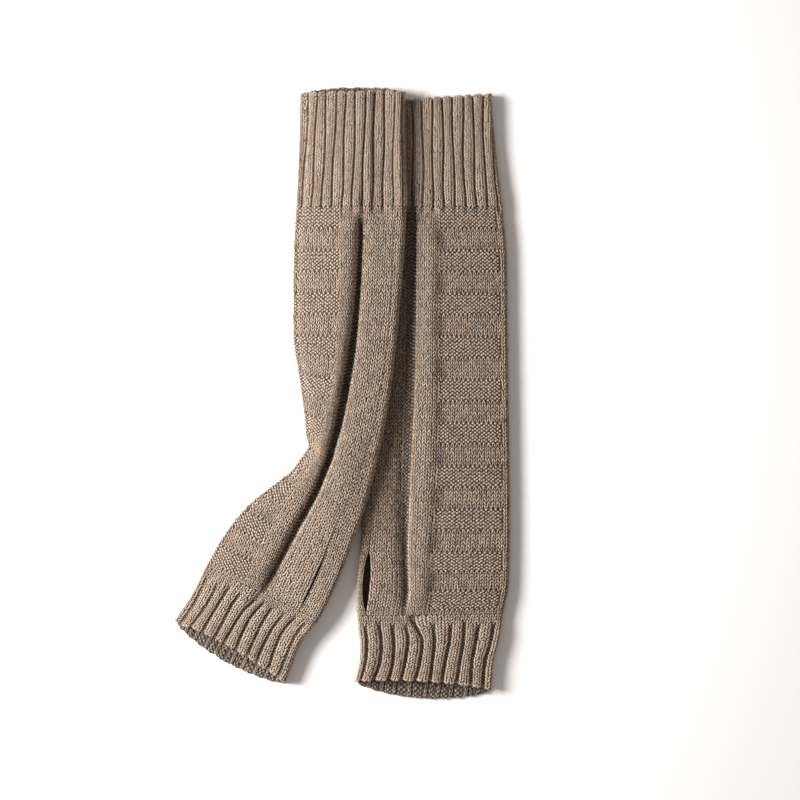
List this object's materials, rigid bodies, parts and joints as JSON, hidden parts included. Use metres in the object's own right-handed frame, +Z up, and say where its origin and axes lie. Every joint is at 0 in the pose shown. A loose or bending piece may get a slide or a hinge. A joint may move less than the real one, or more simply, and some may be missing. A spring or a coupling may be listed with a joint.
{
  "type": "pair of arm warmers",
  "caption": "Long knitted arm warmers laid flat, with ribbed cuffs, a welted panel beside a soft roll, and a thumb slit near the hand end.",
  "frame": {"origin": "middle of the pair's footprint, on the surface that it lies on", "axes": "+Y along the warmers towards the arm mouths, +Z up from the surface, +X towards the straight warmer's welt panel"},
  "size_m": [0.2294, 0.4166, 0.0156],
  "materials": {
    "plain_knit": "soft heathered taupe wool, plain and purl knit, matt with a light nap",
    "fine_rib_knit": "the same wool knitted as a fine rib, matt with a light nap",
    "coarse_rib_knit": "the same wool knitted as a wide rib, matt with a light nap"
  },
  "bodies": {
    "root": {"left_arm_cuff": "fine_rib_knit", "left_body": "plain_knit", "left_hand_cuff": "coarse_rib_knit", "right_arm_cuff": "fine_rib_knit", "right_body": "plain_knit", "right_hand_cuff": "coarse_rib_knit"}
  },
  "joints": []
}
